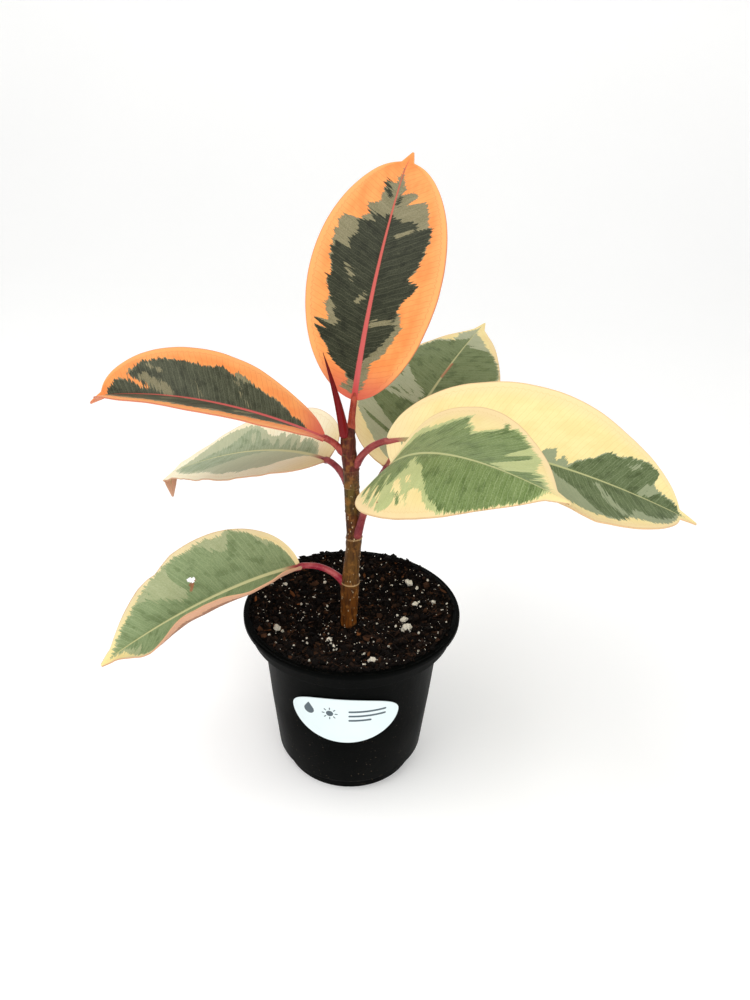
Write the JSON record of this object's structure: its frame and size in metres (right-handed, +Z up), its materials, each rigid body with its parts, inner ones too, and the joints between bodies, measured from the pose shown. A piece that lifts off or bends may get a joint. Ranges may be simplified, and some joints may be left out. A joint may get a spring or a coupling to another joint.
{
  "type": "potted rubber plant",
  "caption": "Young variegated rubber plant with broad oval leaves on red stalks, growing from dark soil in a round black plastic nursery pot with a flanged lip.",
  "frame": {"origin": "middle of the pot's base, in the plane that the pot stands on", "axes": "+Z up along the pot's axis; -Y is the side with the label, +X is to the right when the label is seen from in front"},
  "size_m": [0.2594, 0.2429, 0.2987],
  "materials": {
    "pot": "thin black injection-moulded polypropylene, satin, with light scuffs and dust",
    "label": null,
    "soil": "dark moist peat and bark potting mix",
    "stem": "green-brown young bark with pale specks and beige ring scars",
    "bud_sheath": "smooth waxy maroon bud sheath",
    "root": "pale brown fibrous root",
    "leaf_stalk": "smooth pink-red leaf stalk",
    "leaf": "thick waxy leaf, green with grey-green patches and a cream margin",
    "young_leaf": "thick waxy young leaf, dark green centre with a broad orange margin and a pink-red midrib",
    "perlite": "white porous expanded perlite"
  },
  "bodies": {
    "root": {"pot": "pot", "label": "label", "soil": "soil", "stem": "stem", "bud_sheath": "bud_sheath", "root_1": "root", "root_2": "root", "root_3": "root", "root_4": "root", "root_5": "root", "stalk_lowest": "leaf_stalk", "leaf_lowest": "leaf", "stalk_front": "leaf_stalk", "leaf_front": "leaf", "stalk_back": "leaf_stalk", "leaf_back": "leaf", "stalk_left": "leaf_stalk", "leaf_left": "leaf", "stalk_right": "leaf_stalk", "leaf_right": "leaf", "stalk_upper_left": "leaf_stalk", "leaf_upper_left": "young_leaf", "stalk_top": "leaf_stalk", "leaf_top": "young_leaf", "perlite_1": "perlite", "perlite_2": "perlite", "perlite_3": "perlite", "perlite_4": "perlite", "perlite_5": "perlite", "perlite_6": "perlite", "perlite_7": "perlite", "perlite_8": "perlite"}
  },
  "joints": []
}
